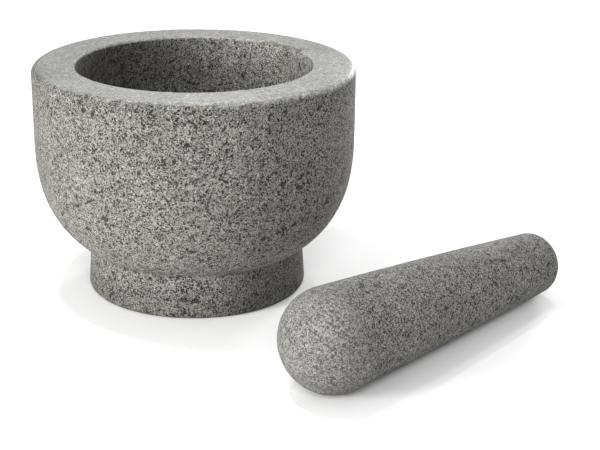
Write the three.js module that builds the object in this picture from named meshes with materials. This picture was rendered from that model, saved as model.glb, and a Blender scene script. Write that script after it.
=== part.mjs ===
// A granite mortar with its pestle lying beside it, in millimetres, +Z up.
// The origin is the centre of the mortar's base. Both stones rest on z = 0.
import * as THREE from 'three';

// Mortar: one stone, turned about the Z axis.
const RIM_RADIUS = 90;
const MORTAR_HEIGHT = 129;
const WALL_THICKNESS = 24;
const RIM_OUTER_ROUND = 4;
const RIM_INNER_ROUND = 2;
const SIDE_TOP = 89.5; // the side is upright above this height
const SIDE_DEPTH = 77.5; // the side's curve would reach the axis this far below SIDE_TOP
const SIDE_POWER = 2.56;
const FOOT_TOP_RADIUS = 61;
const FOOT_BASE_RADIUS = 62.5;
const FOOT_EDGE_ROUND = 2.5;
const BOWL_DEPTH = 88;
const BOWL_CURVE_TOP = 104; // the bowl's wall is upright above this height
const BOWL_POWER = 2.2;
const MORTAR_SEGMENTS = 72;

// Pestle: one stone, turned about its own axis.
const PESTLE_LENGTH = 206;
const HEAD_RADIUS = 27;
const HEAD_DOME = 25; // from the head's pole to its widest section
const TAIL_RADIUS = 17.8;
const TAIL_ROUND = 9.5;
const BARREL = 0.55; // how far the middle swells past a straight taper
const PESTLE_SEGMENTS = 40;

// How the pestle lies on the table.
const HEAD_X = 63.7;
const HEAD_Y = -152;
const PESTLE_HEADING = 43.3; // degrees from +X to the direction of the tail

const STONE_ROUGHNESS = 0.78;

/** Points on a quarter ellipse from startDegrees to endDegrees, both ends included. */
function arc(centreR, centreZ, radiusR, radiusZ, startDegrees, endDegrees, steps) {
  const points = [];
  for (let i = 0; i <= steps; i++) {
    const angle = THREE.MathUtils.degToRad(startDegrees + ((endDegrees - startDegrees) * i) / steps);
    points.push(new THREE.Vector2(
      centreR + radiusR * Math.cos(angle),
      centreZ + radiusZ * Math.sin(angle),
    ));
  }
  return points;
}

/** Points on a superellipse that starts upright at (radius, top) and curves in to endRadius. */
function inwardCurve(radius, top, depth, power, endRadius, steps) {
  const endAngle = Math.acos((endRadius / radius) ** (power / 2));
  const points = [];
  for (let i = 0; i <= steps; i++) {
    const angle = (endAngle * i) / steps;
    points.push(new THREE.Vector2(
      radius * Math.cos(angle) ** (2 / power),
      top - depth * Math.sin(angle) ** (2 / power),
    ));
  }
  return points;
}

/** A solid of revolution about +Z. The profile's x is the radius and its y is the height. */
function turned(profile, segments) {
  return new THREE.LatheGeometry(profile, segments).rotateX(Math.PI / 2);
}

function granite(colour) {
  return new THREE.MeshStandardMaterial({ color: colour, roughness: STONE_ROUGHNESS, metalness: 0 });
}

function makeMortar() {
  const side = inwardCurve(RIM_RADIUS, SIDE_TOP, SIDE_DEPTH, SIDE_POWER, FOOT_TOP_RADIUS, 16);
  const boreRadius = RIM_RADIUS - WALL_THICKNESS;
  const bowlFloor = MORTAR_HEIGHT - BOWL_DEPTH;
  const bowl = inwardCurve(boreRadius, BOWL_CURVE_TOP, BOWL_CURVE_TOP - bowlFloor, BOWL_POWER, 0, 15);
  bowl.pop();
  const profile = [
    new THREE.Vector2(0, 0),
    ...arc(FOOT_BASE_RADIUS - FOOT_EDGE_ROUND, FOOT_EDGE_ROUND, FOOT_EDGE_ROUND, FOOT_EDGE_ROUND, -90, 0, 3),
    ...side.reverse(),
    ...arc(RIM_RADIUS - RIM_OUTER_ROUND, MORTAR_HEIGHT - RIM_OUTER_ROUND,
      RIM_OUTER_ROUND, RIM_OUTER_ROUND, 0, 90, 4),
    ...arc(boreRadius + RIM_INNER_ROUND, MORTAR_HEIGHT - RIM_INNER_ROUND,
      RIM_INNER_ROUND, RIM_INNER_ROUND, 90, 180, 3),
    ...bowl,
    new THREE.Vector2(0, bowlFloor),
  ];
  const mesh = new THREE.Mesh(turned(profile, MORTAR_SEGMENTS), granite(0x85827c));
  mesh.name = 'mortar';
  return mesh;
}

/** The pestle's profile: radius against the distance along its axis from the head's pole. */
function pestleProfile() {
  const shaftSteps = 11;
  const tailStart = PESTLE_LENGTH - TAIL_ROUND;
  const head = arc(0, HEAD_DOME, HEAD_RADIUS, HEAD_DOME, -90, 0, 8);
  const tail = arc(TAIL_RADIUS - TAIL_ROUND, tailStart, TAIL_ROUND, TAIL_ROUND, 0, 90, 5);
  const shaft = [];
  for (let i = 1; i < shaftSteps; i++) {
    const along = i / shaftSteps;
    const taper = HEAD_RADIUS + (TAIL_RADIUS - HEAD_RADIUS) * along;
    shaft.push(new THREE.Vector2(
      taper + 4 * BARREL * along * (1 - along),
      HEAD_DOME + (tailStart - HEAD_DOME) * along,
    ));
  }
  head[0].x = 0;
  return [...head, ...shaft, ...tail, new THREE.Vector2(0, PESTLE_LENGTH)];
}

/** How far along the axis the centre of mass lies. */
function balancePoint(profile) {
  let volume = 0;
  let moment = 0;
  for (let i = 1; i < profile.length; i++) {
    const slice = (profile[i].x + profile[i - 1].x) ** 2 * (profile[i].y - profile[i - 1].y);
    volume += slice;
    moment += slice * (profile[i].y + profile[i - 1].y) / 2;
  }
  return moment / volume;
}

/** The pestle balances on the facet below its centre of mass, and that facet lies on the table. */
function makePestle() {
  const profile = pestleProfile();
  const balance = balancePoint(profile);
  const next = profile.findIndex((point) => point.y > balance);
  const facet = profile[next].clone().sub(profile[next - 1]);
  const droop = Math.atan2(-facet.x, facet.y);
  const geometry = turned(profile, PESTLE_SEGMENTS)
    .translate(0, 0, -HEAD_DOME)
    .rotateY(Math.PI / 2)
    .rotateY(droop);
  geometry.computeBoundingBox();
  const mesh = new THREE.Mesh(geometry, granite(0x8a8984));
  mesh.name = 'pestle';
  mesh.position.z = -geometry.boundingBox.min.z;
  return mesh;
}

const mortarAndPestle = new THREE.Group();
mortarAndPestle.add(makeMortar());

const pestlePlace = new THREE.Group();
pestlePlace.position.set(HEAD_X, HEAD_Y, 0);
pestlePlace.rotation.z = THREE.MathUtils.degToRad(PESTLE_HEADING);
pestlePlace.add(makePestle());
mortarAndPestle.add(pestlePlace);

export default mortarAndPestle;
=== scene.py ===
import math

import bpy
from mathutils import Matrix, Vector


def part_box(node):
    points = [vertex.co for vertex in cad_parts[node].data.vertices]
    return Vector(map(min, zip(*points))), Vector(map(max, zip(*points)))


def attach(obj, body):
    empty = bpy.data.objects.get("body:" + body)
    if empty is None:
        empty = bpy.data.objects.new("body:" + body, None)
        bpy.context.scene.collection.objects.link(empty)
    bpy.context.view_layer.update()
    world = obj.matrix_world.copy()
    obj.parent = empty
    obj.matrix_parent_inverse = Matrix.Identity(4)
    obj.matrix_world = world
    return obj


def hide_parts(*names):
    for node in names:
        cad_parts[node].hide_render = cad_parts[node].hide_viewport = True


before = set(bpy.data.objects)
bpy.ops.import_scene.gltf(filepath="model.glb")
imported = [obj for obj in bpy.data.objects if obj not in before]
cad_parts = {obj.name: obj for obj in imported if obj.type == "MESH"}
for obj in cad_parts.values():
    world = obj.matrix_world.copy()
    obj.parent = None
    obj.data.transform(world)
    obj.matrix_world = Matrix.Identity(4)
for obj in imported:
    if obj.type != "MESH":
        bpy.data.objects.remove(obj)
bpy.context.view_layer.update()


# ======================================================================================
# The mortar's form
# One block of grey granite, turned outside on a lathe and hollowed inside. The thick
# rim, upright side, round bowl and short drum foot are one continuous stone.
# ======================================================================================

mortar_low, mortar_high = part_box("mortar")
rim_radius = (mortar_high.x - mortar_low.x) / 2
mortar_height = mortar_high.z
wall_thickness = 0.024
rim_outer_round = 0.004
rim_inner_round = 0.002
side_top = 0.0895
side_depth = 0.0775
side_power = 2.56
foot_top_radius = 0.061
foot_base_radius = 0.0625
foot_edge_round = 0.0025
foot_fillet = 0.0018
bowl_depth = 0.088
bowl_curve_top = 0.104
bowl_power = 2.2
mortar_segments = 440


def straight(start, end, steps):
    """Evenly spaced points from start towards end. The last one is left to the next stretch."""
    return [Vector(start).lerp(Vector(end), i / steps) for i in range(steps)]


def arc(centre, across, up, start_degrees, end_degrees, steps):
    """Points on part of an ellipse with those two radii, without the last one."""
    points = []
    for i in range(steps):
        angle = math.radians(start_degrees + (end_degrees - start_degrees) * i / steps)
        points.append(Vector((
            centre[0] + across * math.cos(angle),
            centre[1] + up * math.sin(angle),
        )))
    return points


def inward_curve(radius, top, depth, power, end_radius, steps):
    """A superellipse that starts upright at (radius, top) and curves in to end_radius."""
    end_angle = math.acos((end_radius / radius) ** (power / 2))
    points = []
    for i in range(steps + 1):
        angle = end_angle * i / steps
        points.append(Vector((
            radius * math.cos(angle) ** (2 / power),
            top - depth * math.sin(angle) ** (2 / power),
        )))
    return points


def softened(before, corner, after, reach, steps):
    """The bend that replaces a sharp corner, starting and ending at reach from it."""
    start = corner + (before - corner).normalized() * reach
    end = corner + (after - corner).normalized() * reach
    points = []
    for i in range(steps + 1):
        along = i / steps
        points.append(start.lerp(corner, along).lerp(corner.lerp(end, along), along))
    return points


def mortar_profile():
    """Half of the mortar's section, from the middle of its base round to the middle of its bowl."""
    side = inward_curve(rim_radius, side_top, side_depth, side_power, foot_top_radius, 64)[::-1]
    bore_radius = rim_radius - wall_thickness
    bowl_floor = mortar_height - bowl_depth
    bowl = inward_curve(bore_radius, bowl_curve_top, bowl_curve_top - bowl_floor, bowl_power, 0, 56)
    foot_wall = Vector((foot_base_radius, foot_edge_round))
    fillet = softened(foot_wall, side[0], side[3], foot_fillet, 5)
    foot_bend = (foot_base_radius - foot_edge_round, foot_edge_round)
    outer_bend = (rim_radius - rim_outer_round, mortar_height - rim_outer_round)
    inner_bend = (bore_radius + rim_inner_round, mortar_height - rim_inner_round)
    return [
        *straight((0, 0), (foot_bend[0], 0), 10),
        *arc(foot_bend, foot_edge_round, foot_edge_round, -90, 0, 6),
        *straight(foot_wall, fillet[0], 14),
        *fillet,
        *side[3:-1],
        *straight(side[-1], (rim_radius, outer_bend[1]), 26),
        *arc(outer_bend, rim_outer_round, rim_outer_round, 0, 90, 8),
        *straight((outer_bend[0], mortar_height), (inner_bend[0], mortar_height), 15),
        *arc(inner_bend, rim_inner_round, rim_inner_round, 90, 180, 6),
        *straight((bore_radius, inner_bend[1]), (bore_radius, bowl_curve_top), 18),
        *bowl[:-1],
        Vector((0, bowl_floor)),
    ]


class Wire:
    """A node's output in a node tree. Sums, products and powers of wires add Math nodes."""

    def __init__(self, socket):
        self.socket = socket

    def maths(self, operation, *others):
        made = self.socket.id_data.nodes.new("ShaderNodeMath")
        made.operation = operation
        for place, term in enumerate((self, *others)):
            if isinstance(term, Wire):
                self.socket.id_data.links.new(term.socket, made.inputs[place])
            else:
                made.inputs[place].default_value = term
        return Wire(made.outputs[0])

    def __add__(self, other):
        return self.maths("ADD", other)

    def __sub__(self, other):
        return self.maths("SUBTRACT", other)

    def __rsub__(self, other):
        return self.maths("MULTIPLY", -1).maths("ADD", other)

    def __mul__(self, other):
        return self.maths("MULTIPLY", other)

    def __truediv__(self, other):
        return self.maths("DIVIDE", other)

    def __rtruediv__(self, other):
        return self.maths("POWER", -1).maths("MULTIPLY", other)

    def __pow__(self, other):
        return self.maths("POWER", other)

    def __neg__(self):
        return self.maths("MULTIPLY", -1)

    __radd__ = __add__
    __rmul__ = __mul__


class Bench:
    """Builds one node tree. A ramp's stops are pairs of a position and a grey."""

    def __init__(self, tree):
        self.tree = tree

    def node(self, kind, settings=None, values=None, output=0):
        """Adds a node, sets it up, then fills its sockets with numbers or wires. Gives one output."""
        made = self.tree.nodes.new(kind)
        for name, setting in (settings or {}).items():
            if name == "stops":
                ramp = made.color_ramp
                while len(ramp.elements) < len(setting):
                    ramp.elements.new(0.5)
                for element, (place, grey) in zip(ramp.elements, setting):
                    element.position = place
                    element.color = (grey, grey, grey, 1)
            else:
                setattr(made, name, setting)
        for name, value in (values or {}).items():
            if isinstance(value, Wire):
                self.tree.links.new(value.socket, made.inputs[name])
            else:
                made.inputs[name].default_value = value
        return Wire(made.outputs[output])

    def within(self, value, low, high):
        """0 where value is at low or past it, 1 at high, and a smooth step between them."""
        return self.node("ShaderNodeMapRange", {"interpolation_type": "SMOOTHSTEP"},
                         {"Value": value, "From Min": low, "From Max": high})

    def parts(self, vector):
        """The X, Y and Z of a vector as three wires."""
        return [self.node("ShaderNodeSeparateXYZ", values={0: vector}, output=axis) for axis in "XYZ"]

    def grey(self, value):
        """One number as a grey colour."""
        return self.node("ShaderNodeCombineXYZ", values={"X": value, "Y": value, "Z": value})

    def blend(self, amount, first, second, mode="MIX"):
        """A colour between first and second, or first with second laid on it in another mode."""
        return self.node("ShaderNodeMix", {"data_type": "RGBA", "blend_type": mode},
                         {0: amount, 6: first, 7: second}, 2)


def turned_stone_tree():
    """Turns a half section about +Z, then wears its surface inwards with hollows, pits and chips."""
    tree = bpy.data.node_groups.new("Turned stone", "GeometryNodeTree")
    tree.interface.new_socket("Geometry", in_out="OUTPUT", socket_type="NodeSocketGeometry")
    for name, kind in (("Section", "Geometry"), ("Points", "Int"), ("Segments", "Int"),
                       ("Dressing Depth", "Float"),
                       ("Hollow Depth", "Float"), ("Hollow Size", "Float"),
                       ("Dimple Depth", "Float"), ("Dimple Size", "Float"),
                       ("Pit Depth", "Float"), ("Pit Spacing", "Float"),
                       ("Honed Height", "Float"), ("Rim Radius", "Float"), ("Bore Radius", "Float"),
                       ("Worked Length", "Float"),
                       ("Chip Depth", "Float"), ("Chip Heading", "Float"),
                       ("Seed", "Float"), ("Stone", "Material")):
        tree.interface.new_socket(name, in_out="INPUT", socket_type="NodeSocket" + kind)
    bench = Bench(tree)
    given = tree.nodes.new("NodeGroupInput")
    size = {socket.name: Wire(socket) for socket in given.outputs}

    # The half section is swept round as a grid, one column to a segment.
    grid = bench.node("GeometryNodeMeshGrid", values={
        "Size X": 1, "Size Y": 1, "Vertices X": size["Segments"] + 1, "Vertices Y": size["Points"]})
    across, along, _ = bench.parts(bench.node("GeometryNodeInputPosition"))
    angle = (across + 0.5) * math.tau
    step = ((along + 0.5) * (size["Points"] - 1)).maths("ROUND")
    traced = bench.node("GeometryNodeSampleIndex", {"data_type": "FLOAT_VECTOR"}, {
        "Geometry": size["Section"], "Value": bench.node("GeometryNodeInputPosition"), "Index": step})
    radius, _, height = bench.parts(traced)
    turned = bench.node("ShaderNodeCombineXYZ", values={
        "X": radius * angle.maths("COSINE"), "Y": radius * angle.maths("SINE"), "Z": height})
    stone = bench.node("GeometryNodeSetPosition", values={"Geometry": grid, "Position": turned})
    stone = bench.node("GeometryNodeMergeByDistance", values={"Geometry": stone, "Distance": 0.00001})

    # Where on the stone each point is: honed rim, dressed outside or pecked bowl. All lengths
    # in this tree are in metres.
    place = bench.node("GeometryNodeInputPosition")
    outward = bench.node("GeometryNodeInputNormal")
    x, y, z = bench.parts(place)
    face_x, face_y, face_z = bench.parts(outward)
    from_axis = (x * x + y * y) ** 0.5
    facing_out = (face_x * x + face_y * y) / (from_axis + 0.0001)

    def noise(grain, detail=2.0):
        return bench.node("ShaderNodeTexNoise", {"noise_dimensions": "4D"}, {
            "Vector": place, "W": size["Seed"], "Scale": 1 / grain, "Detail": detail})

    # The rim was honed a little off centre, so the pale band runs further over the outer edge
    # on the +X side. Inside it ends at the top of the rounding, and in front it reaches lower as a painted
    # highlight.
    ragged = noise(0.0035, 3.0) - 0.5
    honing_centre_x = 0.0014
    off_centre = ((x - honing_centre_x) * (x - honing_centre_x) + y * y) ** 0.5
    from_rim = size["Rim Radius"] - off_centre
    into_rim = from_axis - size["Bore Radius"]
    depth = z - size["Honed Height"]
    outer = bench.within(depth + ragged * 0.002, -0.0046, -0.0014)
    outer = outer * bench.within(from_rim + ragged * 0.004, -0.0004, 0.0030)
    painted_highlight_drop = bench.within(y, 0.010, -0.030) * 0.0010
    inner = bench.within(depth + ragged * 0.0006 + painted_highlight_drop, -0.0018, -0.0004)
    inner = 1 - (1 - inner) * (1 - bench.within(into_rim, 0.0016, 0.0022))

    # One long shallow chip on the inner edge of the rim, 17 degrees to each side of its heading,
    # and small ones all round.
    from_edge = (into_rim * into_rim + depth * depth) ** 0.5
    turn = (y.maths("ARCTAN2", x) - size["Chip Heading"]).maths("COSINE")
    long_chip = bench.within(turn, 0.955, 0.982) * (1 - bench.within(from_edge, 0.0020, 0.0048))
    long_chip = long_chip * (0.4 + bench.within(noise(0.006, 3.0), 0.42, 0.56) * 0.6)
    small_chips = bench.within(noise(0.0045, 3.0), 0.56, 0.68)
    small_chips = small_chips * (1 - bench.within(from_edge, 0.0008, 0.0026))
    chips = long_chip + small_chips * 0.3
    chipped = bench.within(chips, 0.1, 0.6)
    honed = outer * inner * (1 - chipped * 0.7)
    bowl = bench.within(into_rim, 0.0010, 0.0004) * bench.within(face_z - facing_out, 0, 0.6)
    worked = bench.within(size["Worked Length"] - z, -0.004, 0.008)

    # Wear, always into the stone. Honing takes most of the dimples and pits away.
    hollows = bench.within(noise(size["Hollow Size"]), 0.25, 0.75) * size["Hollow Depth"]
    dimples = bench.within(noise(size["Dimple Size"]), 0.35, 0.75) * size["Dimple Depth"]
    to_pit = bench.node("ShaderNodeTexVoronoi", {"voronoi_dimensions": "4D"}, {
        "Vector": place, "W": size["Seed"], "Scale": 1 / size["Pit Spacing"]}, "Distance")
    pits = (1 - bench.within(to_pit, 0.08, 0.3)) * size["Pit Depth"]
    pits = pits * bench.within(noise(size["Pit Spacing"] * 2.5), 0.5, 0.62)

    worn = (dimples + pits) * (1 - honed * 0.85) + hollows
    worn = worn + chips * size["Chip Depth"] + size["Dressing Depth"]
    for name, amount in (("honed", honed), ("bowl", bowl), ("worked", worked)):
        stone = bench.node("GeometryNodeStoreNamedAttribute", {"data_type": "FLOAT", "domain": "POINT"}, {
            "Geometry": stone, "Name": name, "Value": amount})
    stone = bench.node("GeometryNodeSetPosition", values={
        "Geometry": stone,
        "Offset": bench.node("ShaderNodeVectorMath", {"operation": "SCALE"}, {0: outward, "Scale": -worn})})
    stone = bench.node("GeometryNodeSetShadeSmooth", values={"Geometry": stone, "Shade Smooth": True})
    stone = bench.node("GeometryNodeRealizeInstances", values={"Geometry": stone})
    stone = bench.node("GeometryNodeSetMaterial", values={"Geometry": stone, "Material": size["Stone"]})
    result = tree.nodes.new("NodeGroupOutput")
    tree.links.new(stone.socket, result.inputs["Geometry"])
    return tree


turned_stone = turned_stone_tree()


def turn_on_lathe(name, section, **sizes):
    """Runs the section through the turning tree and keeps the result as a plain mesh."""
    wire = bpy.data.meshes.new(name + "_section")
    wire.from_pydata([(point.x, 0, point.y) for point in section],
                     [(i, i + 1) for i in range(len(section) - 1)], [])
    blank = bpy.data.objects.new(name + "_blank", wire)
    bpy.context.scene.collection.objects.link(blank)
    turning = blank.modifiers.new("turning", "NODES")
    turning.node_group = turned_stone
    sizes["points"] = len(section)
    for item in turned_stone.interface.items_tree:
        size_name = item.name.replace(" ", "_").lower()
        if item.in_out == "INPUT" and size_name in sizes:
            turning[item.identifier] = sizes[size_name]
    graph = bpy.context.evaluated_depsgraph_get()
    mesh = bpy.data.meshes.new_from_object(blank.evaluated_get(graph), depsgraph=graph)
    bpy.data.objects.remove(blank)
    mesh.name = name
    piece = bpy.data.objects.new(name, mesh)
    bpy.context.scene.collection.objects.link(piece)
    return piece


# ======================================================================================
# The mortar's stone
# Grey granite: pale feldspar and grey quartz with dark mica. The outside is fine-dressed in
# rings, the rim is honed smooth and pale, and the bowl is pecked rough and stained with use.
# The tone also carries painted shade and light: by height, on the +X side, on the bowl's -X side and on the
# rim's front.
# ======================================================================================

# Both stones were dressed alike. These sizes are in metres.
stone_wear = {
    "dressing_depth": 0.00003, "hollow_depth": 0.0001, "hollow_size": 0.03,
    "dimple_depth": 0.00012, "dimple_size": 0.004, "pit_spacing": 0.006,
}
rim_tone = (0.292, 0.295, 0.278)
bowl_tone = (0.122, 0.118, 0.109)


def granite(name, seed, grain, face_tone, painted_shade_base, painted_height_shading, painted_side_shade, painted_foot_shade):
    """Granite in three finishes: dressed faces, the honed rim and the used bowl. Lengths are
    in millimetres. Each height shading step is a height where it starts, one where it ends, and the
    change in painted shade. Painted shade makes the block a little darker towards +X, and more so round its
    foot."""
    material = bpy.data.materials.new(name)
    material.use_nodes = True
    tree = material.node_tree
    tree.nodes.clear()
    bench = Bench(tree)
    metres = bench.node("ShaderNodeTexCoord", output="Object")
    place = bench.node("ShaderNodeVectorMath", {"operation": "SCALE"}, {0: metres, "Scale": 1000.0})
    x, y, z = bench.parts(place)
    from_axis = (x * x + y * y) ** 0.5
    heading = y.maths("ARCTAN2", x)
    honed = bench.node("ShaderNodeAttribute", {"attribute_name": "honed"}, output="Fac")
    bowl = bench.node("ShaderNodeAttribute", {"attribute_name": "bowl"}, output="Fac")
    worked = bench.node("ShaderNodeAttribute", {"attribute_name": "worked"}, output="Fac")

    def noise(grain, detail=2.0, at=place, roughness=0.5, shift=0.0):
        """Soft noise with lumps of about grain millimetres."""
        return bench.node("ShaderNodeTexNoise", {"noise_dimensions": "4D"}, {
            "Vector": at, "W": seed + shift, "Scale": 1 / grain, "Detail": detail, "Roughness": roughness})

    def crystals(size, at):
        """A random value from 0 to 1 for each crystal."""
        picked = bench.node("ShaderNodeTexVoronoi", {"voronoi_dimensions": "4D"}, {
            "Vector": at, "W": seed, "Scale": 1 / size}, "Color")
        return bench.node("ShaderNodeSeparateColor", values={0: picked}, output=0)

    def streaks(around, outwards, upwards, detail, shift):
        """Noise drawn out into streaks. The first three say how fast it changes each way."""
        drawn_out = bench.node("ShaderNodeCombineXYZ", values={
            "X": heading * around, "Y": from_axis * outwards, "Z": z * upwards})
        return noise(1.0, detail, at=drawn_out, shift=shift)

    def tinted(colour, tone):
        """A colour multiplied by a tone, which is one colour or a number that varies."""
        if isinstance(tone, Wire):
            tone = bench.grey(tone)
        else:
            tone = (*tone, 1)
        return bench.blend(1.0, colour, tone, "MULTIPLY")

    white = (1, 1, 1, 1)

    # Crystals have ragged outlines, so the pattern is pushed about a little.
    push = bench.node("ShaderNodeTexNoise", {"noise_dimensions": "4D"}, {
        "Vector": place, "W": seed, "Scale": 1 / 0.9, "Detail": 2.0}, "Color")
    push = bench.node("ShaderNodeVectorMath", {"operation": "SUBTRACT"}, {0: push, 1: (0.5, 0.5, 0.5)})
    push = bench.node("ShaderNodeVectorMath", {"operation": "SCALE"}, {0: push, "Scale": 1.6})
    ragged = bench.node("ShaderNodeVectorMath", {"operation": "ADD"}, {0: place, 1: push})

    coarse = crystals(grain * 2.3, ragged)
    fine = crystals(grain, ragged)
    clusters = noise(4.0, 3.0, roughness=0.6)
    crowded = (noise(22.0, 2.0, shift=5.0) - 0.5) * 0.16
    mica = bench.within(noise(2.7, 2.0, roughness=0.6, shift=1.0) + crowded, 0.600, 0.645)
    mix = coarse * 0.15 + fine * 0.85 + (clusters - 0.5) * 0.28 - mica * 0.18
    speckle = bench.node("ShaderNodeValToRGB", {"stops": (
        (0.12, 0.02), (0.27, 0.05), (0.35, 0.66), (0.43, 1.20),
        (0.68, 1.38), (0.84, 1.72), (0.97, 2.2))}, {0: mix})
    speckle = bench.blend(mica * 0.72, speckle, (0.12, 0.12, 0.115, 1))
    dust = crystals(grain * 0.65, place) * 1.1 + 0.45
    speckle = tinted(speckle, dust * (1 - mica * 0.25))

    # Rings left by dressing the outside, strokes down the bowl, and honing marks on the rim.
    rings = streaks(6.0, 0.4, 0.9, 2.0, shift=2.0)
    strokes = streaks(55.0, 0.0, 0.12, 2.0, shift=4.0)
    swirls = streaks(4.0, 1.3, 0.5, 3.0, shift=6.0)
    scratches = bench.within(streaks(13.0, 1.5, 1.0, 3.0, shift=9.0), 0.56, 0.70)
    beds = noise(28.0, 2.0, shift=8.0)
    mottle = noise(1.5, 2.0, shift=20.0)

    # The dressed faces, with painted shade and light in their tone. The pestle's head is paler, partly
    # rubbed by use and partly a painted highlight.
    dressed_and_shaded = tinted(bench.blend(worked * 0.32, speckle, white), face_tone)
    shade = worked * 0.14 + painted_shade_base
    # The tone steps with height: painted shade and painted light.
    for start, end, change in painted_height_shading:
        shade = shade + bench.within(z, start, end) * change
    shade = shade * (1 + (rings - 0.5) * 0.4 + (beds - 0.5) * 0.5)
    # Painted shade: a little darker towards +X, and more so round the foot on that side.
    shade = shade * (1 - bench.within(x, 25.0, 60.0) * painted_side_shade)
    shade = shade * (1 - bench.within(x, 5.0, 45.0) * bench.within(z, 29.0, 22.0) * painted_foot_shade)
    dressed_and_shaded = tinted(dressed_and_shaded, shade)

    # The bowl, with painted shade darkening its -X side and streaked stains of use.
    painted_bowl_shade = 0.46 + bench.within(x / (from_axis + 1), -0.8, 0.6) * 0.90
    stain_and_shade = painted_bowl_shade * (1 + (strokes - 0.5) * 1.1 + (noise(9.0, 2.0, shift=3.0) - 0.5) * 0.8)
    used_and_shaded = tinted(tinted(bench.blend(0.08, speckle, white), bowl_tone), stain_and_shade)

    # The honed rim. A painted highlight makes it palest in front; it is a little darker towards -X, with
    # honing swirls, mottle and scratches.
    rim_highlight_and_marks = 0.92 + bench.within(y, 60.0, -85.0) * 0.20
    rim_highlight_and_marks = rim_highlight_and_marks * (0.86 + bench.within(x, -85.0, -30.0) * 0.14)
    rim_highlight_and_marks = rim_highlight_and_marks * (1 + (swirls - 0.5) * 0.6 + (mottle - 0.5) * 1.1 + (beds - 0.5) * 0.5)
    rim_highlight_and_marks = rim_highlight_and_marks * (1 - scratches * 0.45)
    honed_and_highlit = tinted(tinted(bench.blend(0.62, speckle, white), rim_tone), rim_highlight_and_marks)

    # Faint rust and ochre where iron in the stone has weathered, honed away on the rim.
    colour = bench.blend(bowl, dressed_and_shaded, used_and_shaded)
    rust = bench.within(noise(11.0, 3.0, shift=12.0), 0.60, 0.72) * 0.5
    colour = bench.blend(rust, colour, (1.08, 0.98, 0.88, 1), "MULTIPLY")
    ochre = bench.within(noise(6.0, 3.0, shift=16.0), 0.66, 0.74) * 0.5
    colour = bench.blend(ochre, colour, (1.05, 1.02, 0.82, 1), "MULTIPLY")
    colour = bench.blend(honed, colour, honed_and_highlit)

    shader = tree.nodes.new("ShaderNodeBsdfPrincipled")
    shader.inputs["Specular IOR Level"].default_value = 0.25
    tree.links.new(colour.socket, shader.inputs["Base Color"])
    gloss = 0.86 - honed * 0.22 - (1 - bench.within(mix, 0.12, 0.26)) * 0.25
    tree.links.new(gloss.socket, shader.inputs["Roughness"])
    relief = bench.within(mix, 0.1, 0.55) * 0.6 + noise(0.9, 3.0, roughness=0.7) * 0.8 + rings * 0.5
    relief = relief * (1 - honed * 0.85) * (1 - worked * 0.4)
    bump = bench.node("ShaderNodeBump", values={"Height": relief, "Strength": 0.9, "Distance": 0.00019})
    tree.links.new(bump.socket, shader.inputs["Normal"])
    result = tree.nodes.new("ShaderNodeOutputMaterial")
    tree.links.new(shader.outputs[0], result.inputs["Surface"])
    return material


# The mortar's height steps are painted shade and light: darker at the foot, palest just above it, greyer
# towards the rim.
mortar_granite = granite(
    "mortar_granite", seed=3.0, grain=0.52, face_tone=(0.1355, 0.1310, 0.1200), painted_shade_base=0.70,
    painted_height_shading=((4.0, 14.0, 0.10), (12.0, 20.0, 0.12), (24.0, 29.0, 0.36), (32.0, 46.0, -0.19),
               (42.0, 75.0, -0.06), (90.0, 115.0, -0.05), (112.0, 124.0, -0.12)),
    painted_side_shade=0.10, painted_foot_shade=0.34,
)
mortar = turn_on_lathe(
    "mortar_stone", mortar_profile(), segments=mortar_segments, stone=mortar_granite, seed=3.0,
    pit_depth=0.0004, honed_height=mortar_height, rim_radius=rim_radius,
    bore_radius=rim_radius - wall_thickness, worked_length=-1.0,
    chip_depth=0.0018, chip_heading=math.radians(38), **stone_wear,
)
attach(mortar, "mortar_body")
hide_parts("mortar")


# ======================================================================================
# The pestle
# A second piece of the same granite, turned to a round head and a rounded tail. It lies
# loose on the table beside the mortar, on its balance point.
# ======================================================================================

pestle_length = 0.206
head_radius = 0.027
head_dome = 0.025
tail_radius = 0.0178
tail_round = 0.0095
barrel = 0.00055
pestle_heading = math.radians(43.3)
pestle_segments = 300


def pestle_profile():
    """Half of the pestle's section, from the head's pole to the middle of the tail."""
    tail_start = pestle_length - tail_round
    shaft = []
    shaft_steps = 180
    for i in range(shaft_steps):
        along = i / shaft_steps
        taper = head_radius + (tail_radius - head_radius) * along
        shaft.append(Vector((
            taper + 4 * barrel * along * (1 - along),
            head_dome + (tail_start - head_dome) * along,
        )))
    head = arc((0, head_dome), head_radius, head_dome, -90, 0, 44)
    head[0].x = 0
    tail = arc((tail_radius - tail_round, tail_start), tail_round, tail_round, 0, 90, 16)
    end = straight((tail_radius - tail_round, pestle_length), (0, pestle_length), 8)
    return [*head, *shaft, *tail, *end, Vector((0, pestle_length))]


def droop(section):
    """How far the lying pestle's axis slopes: the taper at its centre of mass."""
    slices = [(a, b, (a.x + b.x) ** 2 * (b.y - a.y)) for a, b in zip(section, section[1:])]
    balance = sum(s * (a.y + b.y) / 2 for a, b, s in slices) / sum(s for a, b, s in slices)
    under = next((a, b) for a, b, s in slices if b.y > balance)
    return math.atan2(under[0].x - under[1].x, under[1].y - under[0].y)


# The pestle's height steps are painted shade and light: darker underneath, paler on top.
pestle_granite = granite(
    "pestle_granite", seed=11.0, grain=0.50, face_tone=(0.134, 0.1310, 0.1235), painted_shade_base=0.84,
    painted_height_shading=((6.0, 28.0, 0.06), (30.0, 50.0, 0.24)), painted_side_shade=0.0, painted_foot_shade=0.0,
)
pestle_section = pestle_profile()
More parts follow.
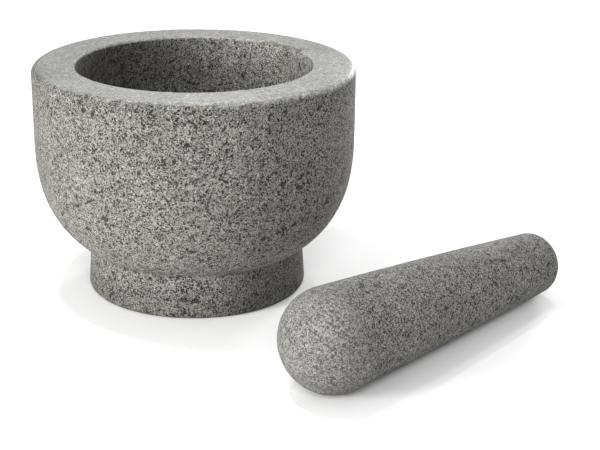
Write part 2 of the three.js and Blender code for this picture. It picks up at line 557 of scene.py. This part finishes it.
# It has no rim and no bore, so the rim's height and the bore's radius are set out of reach.
pestle = turn_on_lathe(
    "pestle_stone", pestle_section, segments=pestle_segments, stone=pestle_granite, seed=11.0,
    pit_depth=0.0003, honed_height=1.0, rim_radius=0.0, bore_radius=-1.0, worked_length=head_dome,
    chip_depth=0.0, chip_heading=0.0, **stone_wear,
)
slope = math.pi / 2 + droop(pestle_section)
pestle.data.transform(Matrix.Rotation(pestle_heading, 4, "Z") @ Matrix.Rotation(slope, 4, "Y"))
pestle_low, pestle_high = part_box("pestle")
corners = [vertex.co for vertex in pestle.data.vertices]
own_low = Vector(min(co[i] for co in corners) for i in range(3))
own_high = Vector(max(co[i] for co in corners) for i in range(3))
pestle.data.transform(Matrix.Translation((pestle_low + pestle_high - own_low - own_high) / 2))
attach(pestle, "pestle_body")
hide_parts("pestle")


# ======================================================================================
# The studio
# A plain pale table, an even white surround and six soft round lamps. Two broad lamps in front
# and two behind shape the stone, and two small ones overhead put soft shadows on the table.
# ======================================================================================

floor_mesh = bpy.data.meshes.new("floor")
reach = 6.0
floor_mesh.from_pydata([(-reach, -reach, 0), (reach, -reach, 0), (reach, reach, 0), (-reach, reach, 0)],
                       [], [(0, 1, 2, 3)])
floor = bpy.data.objects.new("floor", floor_mesh)
bpy.context.scene.collection.objects.link(floor)
paint = bpy.data.materials.new("floor_paint")
paint.use_nodes = True
floor_surface = paint.node_tree.nodes["Principled BSDF"]
floor_surface.inputs["Base Color"].default_value = (0.87, 0.87, 0.87, 1)
floor_surface.inputs["Roughness"].default_value = 0.9
floor_mesh.materials.append(paint)

world = bpy.data.worlds.new("studio")
world.use_nodes = True
surround = world.node_tree.nodes["Background"]
surround.inputs["Color"].default_value = (1, 1, 1, 1)
surround.inputs["Strength"].default_value = 0.66
bpy.context.scene.world = world


def softbox(name, heading, elevation, distance, size, power):
    """A round soft lamp aimed at the middle of the table: angles in degrees, metres and watts."""
    data = bpy.data.lights.new(name, "AREA")
    data.shape = "DISK"
    data.size = size
    data.energy = power
    lamp = bpy.data.objects.new(name, data)
    heading = math.radians(heading)
    elevation = math.radians(elevation)
    towards = Vector((
        math.cos(heading) * math.cos(elevation),
        math.sin(heading) * math.cos(elevation),
        math.sin(elevation),
    ))
    lamp.location = towards * distance
    lamp.rotation_euler = towards.to_track_quat("Z", "Y").to_euler()
    bpy.context.scene.collection.objects.link(lamp)


softbox("front_left", 210, 12, 1.5, 0.5, 30.7)
softbox("front_high", 270, 32, 1.5, 0.5, 8.8)
softbox("back_right", 30, 12, 1.5, 0.5, 3.6)
softbox("back", 60, 12, 1.5, 0.5, 15.4)
softbox("overhead_right", 45, 60, 1.0, 0.15, 1.6)
softbox("overhead_left", 175, 78.7, 0.91, 0.06, 1.4)
bpy.context.scene.view_settings.view_transform = "Standard"

camera_data = bpy.data.cameras.new("camera")
camera_data.sensor_width = 36
camera_data.lens = 85.35
camera = bpy.data.objects.new("camera", camera_data)
bpy.context.scene.collection.objects.link(camera)
bpy.context.scene.camera = camera
camera_place = Vector((0, -0.7771, 0.3133))
pan = math.radians(4.408)
tilt = math.radians(19.874)
roll = math.radians(0.70)
forward = Vector((
    math.sin(pan) * math.cos(tilt),
    math.cos(pan) * math.cos(tilt),
    -math.sin(tilt),
))
level_right = Vector((math.cos(pan), -math.sin(pan), 0))
level_up = level_right.cross(forward)
right = math.cos(roll) * level_right + math.sin(roll) * level_up
up = math.cos(roll) * level_up - math.sin(roll) * level_right
facing = Matrix((right, up, -forward)).transposed()
camera.matrix_world = Matrix.Translation(camera_place) @ facing.to_4x4()
